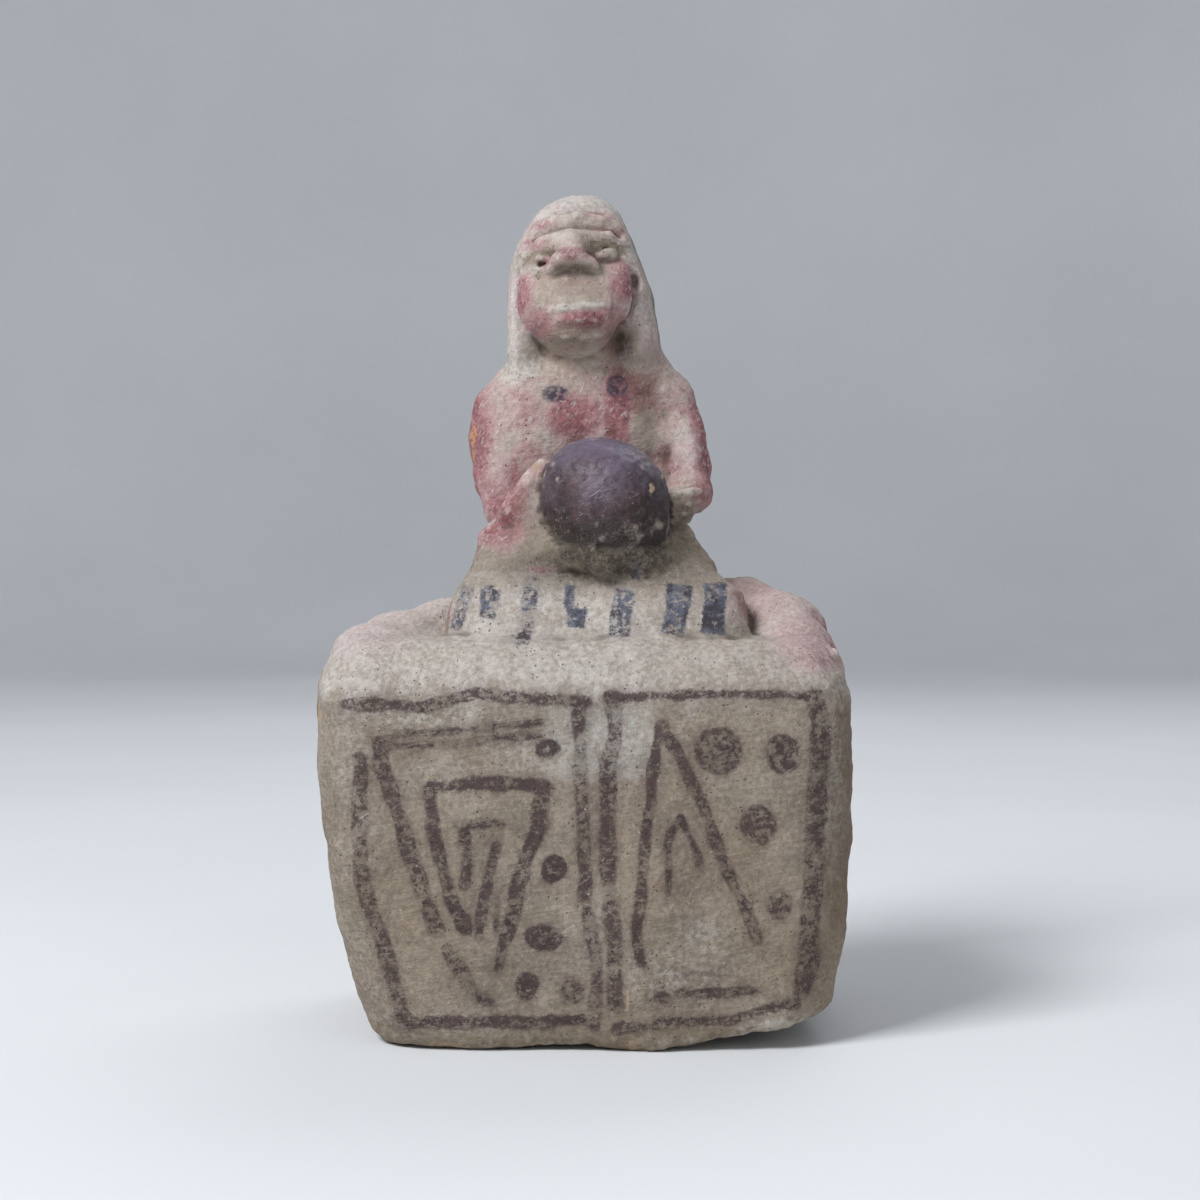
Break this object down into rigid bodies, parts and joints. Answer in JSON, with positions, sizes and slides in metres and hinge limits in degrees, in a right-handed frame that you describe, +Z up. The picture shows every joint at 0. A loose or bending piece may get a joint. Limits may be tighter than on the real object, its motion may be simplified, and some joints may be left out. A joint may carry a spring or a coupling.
{
  "type": "fertility doll",
  "caption": "Seated fired-clay figure on a hollow painted box base, with a bowed figure under a dark rounded cap and a striped mantle laid against its front",
  "frame": {"origin": "bottom centre of the bounding box, on the flat underside of the base", "axes": "+Z up; the seated figure and the painted panel face -Y; +X is the viewer's right when looking at the front"},
  "size_m": [0.125, 0.086, 0.2],
  "materials": {
    "slip_cream": "matte cream slip on fired clay, painted with purple-brown lines and dots, worn and dusty",
    "slip_red_worn": "matte pinkish-red slip worn through to pale clay on the high spots",
    "slip_plum": "dark plum slip, lightly burnished on top, speckled and rough low down",
    "slip_dark": "blackened matte slip over the back of the head",
    "bare_clay": "unpainted fired clay with ground-in soil"
  },
  "bodies": {
    "root": {"base_front_wall": "slip_cream", "base_back_wall": "slip_cream", "base_left_wall": "slip_cream", "base_right_wall": "slip_cream", "base_top_slab": "slip_cream", "base_floor_slab": "bare_clay", "torso_front_shell": "slip_red_worn", "torso_back_shell": "slip_red_worn", "head_front_shell": "slip_red_worn", "head_back_shell": "slip_dark", "hair_left_fall": "slip_cream", "hair_right_fall": "slip_cream", "headband": "slip_red_worn", "brow_left": "slip_red_worn", "brow_right": "slip_red_worn", "eye_left": "slip_cream", "eye_right": "slip_cream", "nose": "slip_red_worn", "lip_upper": "slip_red_worn", "lip_lower": "slip_red_worn", "arm_left": "slip_red_worn", "arm_right": "slip_red_worn", "hand_left": "slip_red_worn", "hand_right": "slip_red_worn", "leg_left": "slip_red_worn", "leg_right": "slip_red_worn", "foot_left": "slip_red_worn", "foot_right": "slip_red_worn", "small_shoulder_left": "slip_red_worn", "small_shoulder_right": "slip_cream", "mantle": "slip_cream", "nape_fringe": "bare_clay", "cap_dome": "slip_plum"}
  },
  "joints": []
}
